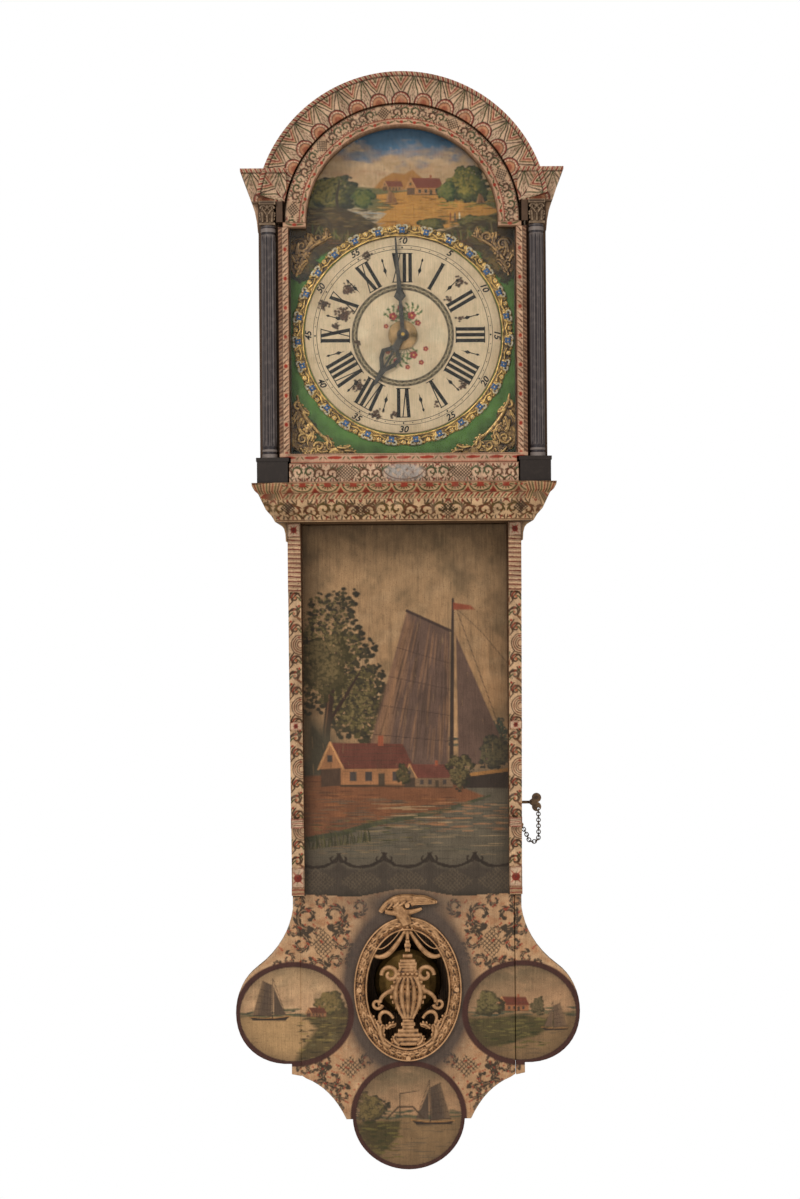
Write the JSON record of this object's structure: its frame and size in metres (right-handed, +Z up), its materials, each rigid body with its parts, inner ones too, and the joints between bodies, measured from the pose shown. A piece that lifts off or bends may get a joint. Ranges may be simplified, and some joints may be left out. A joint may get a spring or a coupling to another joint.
{
  "type": "dutch wall clock",
  "caption": "Wall clock with an arched painted hood on a console, a flat trunk with a painted board, and a trefoil tail whose pierced grille shows the pendulum bob.",
  "frame": {"origin": "hole of the iron hanger at the back face of the back board, where the wall hook holds the clock", "axes": "+Z up, -Y out of the dial towards the viewer, +X to the viewer's right"},
  "size_m": [0.4694, 0.221, 1.46],
  "materials": {
    "painted_wood": "aged cream oil paint with folk scrolls",
    "painted_board": "painted river landscape under old varnish",
    "painted_tail": "dark oil paint with cream leaf work",
    "bare_wood": "bare oak, darkened",
    "black_wood": "black painted wood, worn",
    "capital_wood": "gilt carving, tarnished",
    "dial_paint": "green oil paint on sheet iron",
    "chapter_paint": "cream oil paint, flaked",
    "cast_gilt": "cast and gilt, worn",
    "train_brass": "cast and filed brass",
    "forged_iron": "forged and filed iron",
    "dark_steel": "blackened steel",
    "glass": "old window glass"
  },
  "bodies": {
    "case": {"back_board": "bare_wood", "trunk_side_left": "bare_wood", "trunk_side_right": "bare_wood", "front_board": "painted_board", "ears": "painted_tail", "tail_bottom_board": "bare_wood", "rails": "painted_wood", "console_front": "painted_wood", "console_returns": "painted_wood", "console_boards": "bare_wood", "hood_guides": "bare_wood", "seat": "bare_wood", "wall_hanger": "forged_iron", "hanger_screws": "forged_iron", "tail_grille": "cast_gilt", "grille_nails": "cast_gilt", "hatch_hinge": "forged_iron", "dial_plate": "dial_paint", "dial_supports": "train_brass", "chapter_disc": "chapter_paint", "leaf_ring": "cast_gilt", "spandrels": "cast_gilt", "movement_plates": "forged_iron", "movement_pillars": "train_brass", "movement_bars": "forged_iron", "bell": "train_brass"},
    "hood": {"hood_sides": "bare_wood", "hood_windows": "glass", "hood_front_frame": "bare_wood", "hood_roof": "bare_wood", "cornice_arch": "painted_wood", "cornice_sides": "painted_wood", "columns": "black_wood", "capitals": "capital_wood", "pedestals": "black_wood", "hood_lower_rail": "painted_wood", "door_pins": "forged_iron"},
    "door": {"door_frame": "painted_wood", "door_glass": "glass", "glazing_bead": "bare_wood"},
    "hatch": {"side_hatch": "bare_wood", "hatch_lock": "train_brass", "key_chain": "forged_iron"},
    "key": {"side_key": "forged_iron"},
    "centre_arbor": {"centre_wheel": "train_brass", "minute_hand": "dark_steel"},
    "great_arbor": {"great_wheel": "train_brass"},
    "third_arbor": {"third_wheel": "train_brass"},
    "escape_arbor": {"escape_wheel": "train_brass"},
    "minute_arbor": {"minute_wheel": "train_brass"},
    "hour_pipe": {"hour_hand": "dark_steel", "alarm_disc": "cast_gilt"},
    "strike_great_arbor": {"strike_great_wheel": "train_brass"},
    "strike_second_arbor": {"strike_second_wheel": "train_brass"},
    "strike_third_arbor": {"strike_third_wheel": "train_brass"},
    "fly_arbor": {"strike_fly": "train_brass"},
    "pendulum": {"pendulum_rod": "forged_iron", "pendulum_bob": "train_brass"},
    "anchor_arbor": {"anchor": "forged_iron"},
    "hammer_arbor": {"hammer": "forged_iron"}
  },
  "joints": [
    {"name": "hood_slide", "type": "slide", "parent": "case", "child": "hood", "axis": [0, -1, 0], "range_m": [0, 0.21]},
    {"name": "door_hinge", "type": "hinge", "parent": "hood", "child": "door", "pos_m": [0.1595, -0.2035, -0.2], "axis": [0, 0, 1], "range_deg": [0, 90]},
    {"name": "hatch_hinge", "type": "hinge", "parent": "case", "child": "hatch", "pos_m": [0.1586, -0.03, -0.83], "axis": [0, 0, 1], "range_deg": [0, 80], "deforming": ["key_chain"]},
    {"name": "key_turn", "type": "hinge", "parent": "hatch", "child": "key", "pos_m": [0.156, -0.07, -0.832], "axis": [1, 0, 0], "range_deg": [0, 90]},
    {"name": "minute_hand_turn", "type": "hinge", "parent": "case", "child": "centre_arbor", "pos_m": [0, 0, -0.203], "axis": [0, 1, 0], "continuous": true},
    {"name": "great_wheel_turn", "type": "hinge", "parent": "case", "child": "great_arbor", "pos_m": [0, 0, -0.245], "axis": [0, 1, 0], "continuous": true},
    {"name": "third_wheel_turn", "type": "hinge", "parent": "case", "child": "third_arbor", "pos_m": [0, 0, -0.17735], "axis": [0, 1, 0], "continuous": true},
    {"name": "escape_wheel_turn", "type": "hinge", "parent": "case", "child": "escape_arbor", "pos_m": [0, 0, -0.15395], "axis": [0, 1, 0], "continuous": true},
    {"name": "minute_wheel_turn", "type": "hinge", "parent": "case", "child": "minute_arbor", "pos_m": [0, 0, -0.233], "axis": [0, 1, 0], "continuous": true},
    {"name": "hour_hand_turn", "type": "hinge", "parent": "case", "child": "hour_pipe", "pos_m": [0, 0, -0.203], "axis": [0, 1, 0], "continuous": true},
    {"name": "strike_great_turn", "type": "hinge", "parent": "case", "child": "strike_great_arbor", "pos_m": [0, 0, -0.245], "axis": [0, 1, 0], "continuous": true},
    {"name": "strike_second_turn", "type": "hinge", "parent": "case", "child": "strike_second_arbor", "pos_m": [0, 0, -0.203], "axis": [0, 1, 0], "continuous": true},
    {"name": "strike_third_turn", "type": "hinge", "parent": "case", "child": "strike_third_arbor", "pos_m": [0, 0, -0.17735], "axis": [0, 1, 0], "continuous": true},
    {"name": "fly_turn", "type": "hinge", "parent": "case", "child": "fly_arbor", "pos_m": [0, 0, -0.15395], "axis": [0, 1, 0], "continuous": true},
    {"name": "pendulum_swing", "type": "hinge", "parent": "case", "child": "pendulum", "pos_m": [0, -0.05, -0.128], "axis": [0, 1, 0], "range_deg": [-3.5, 3.5]},
    {"name": "anchor_rock", "type": "hinge", "parent": "case", "child": "anchor_arbor", "pos_m": [0, -0.1, -0.128], "axis": [0, 1, 0], "range_deg": [-3.5, 3.5]},
    {"name": "hammer_draw", "type": "hinge", "parent": "case", "child": "hammer_arbor", "pos_m": [0.05, -0.088, -0.235], "axis": [0, 1, 0], "range_deg": [0, 4.5], "stiffness_Nm_per_rad": 0.1, "springref_deg": -5.73}
  ],
  "couplings": [
    {"joint": "great_wheel_turn", "follows": "minute_hand_turn", "ratio": -0.11111},
    {"joint": "third_wheel_turn", "follows": "minute_hand_turn", "ratio": -8},
    {"joint": "escape_wheel_turn", "follows": "minute_hand_turn", "ratio": 61.333},
    {"joint": "minute_wheel_turn", "follows": "minute_hand_turn", "ratio": -1},
    {"joint": "hour_hand_turn", "follows": "minute_hand_turn", "ratio": 0.083333},
    {"joint": "strike_second_turn", "follows": "strike_great_turn", "ratio": -9},
    {"joint": "strike_third_turn", "follows": "strike_great_turn", "ratio": 72},
    {"joint": "fly_turn", "follows": "strike_great_turn", "ratio": -552},
    {"joint": "anchor_rock", "follows": "pendulum_swing", "ratio": 1}
  ]
}
